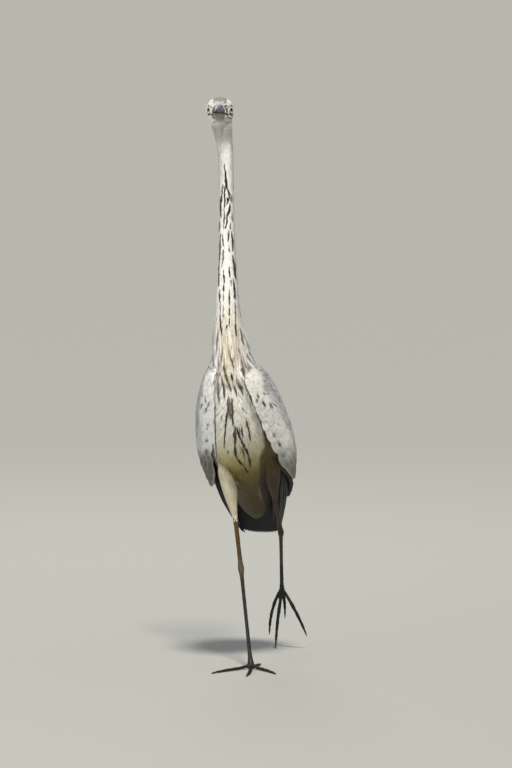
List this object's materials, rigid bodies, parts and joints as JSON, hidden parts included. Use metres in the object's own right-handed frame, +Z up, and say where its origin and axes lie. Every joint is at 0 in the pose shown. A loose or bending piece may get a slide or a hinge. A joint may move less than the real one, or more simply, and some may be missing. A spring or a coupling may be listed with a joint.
{
  "type": "museum model of a grey heron",
  "caption": "Life-size still model of a young grey heron in mid stride, neck stretched straight up and bill held level, one foot flat and one trailing on its toe.",
  "frame": {"origin": "on the floor, at the centre of the flat sole under the ball of the standing right foot", "axes": "+Z up, -Y the way the bird walks and points its bill, +X its left"},
  "size_m": [0.1717, 0.5729, 0.9839],
  "materials": {
    "plumage_grey": "matte",
    "plumage_pale": "matte",
    "plumage_dark": "matte",
    "bill_upper": "satin",
    "bill_lower": "satin",
    "eye": "gloss",
    "shank_skin": "matte",
    "leg_skin": "matte",
    "claw": "satin"
  },
  "bodies": {
    "root": {"bill_lower": "bill_lower", "bill_upper": "bill_upper", "claw_hind_left": "claw", "claw_hind_right": "claw", "claw_inner_left": "claw", "claw_inner_right": "claw", "claw_middle_left": "claw", "claw_middle_right": "claw", "claw_outer_left": "claw", "claw_outer_right": "claw", "crest": "plumage_dark", "eye_left": "eye", "eye_right": "eye", "head": "plumage_grey", "mantle": "plumage_grey", "neck_lower": "plumage_pale", "neck_middle": "plumage_pale", "neck_upper": "plumage_pale", "primaries_left": "plumage_dark", "primaries_right": "plumage_dark", "shank_left": "shank_skin", "shank_right": "shank_skin", "tail": "plumage_dark", "tarsus_left": "leg_skin", "tarsus_right": "leg_skin", "thigh_left": "plumage_pale", "thigh_right": "plumage_pale", "toe_hind_left": "leg_skin", "toe_hind_right": "leg_skin", "toe_inner_left": "leg_skin", "toe_inner_right": "leg_skin", "toe_middle_left": "leg_skin", "toe_middle_right": "leg_skin", "toe_outer_left": "leg_skin", "toe_outer_right": "leg_skin", "trunk": "plumage_pale", "wing_left": "plumage_grey", "wing_right": "plumage_grey"}
  },
  "joints": []
}
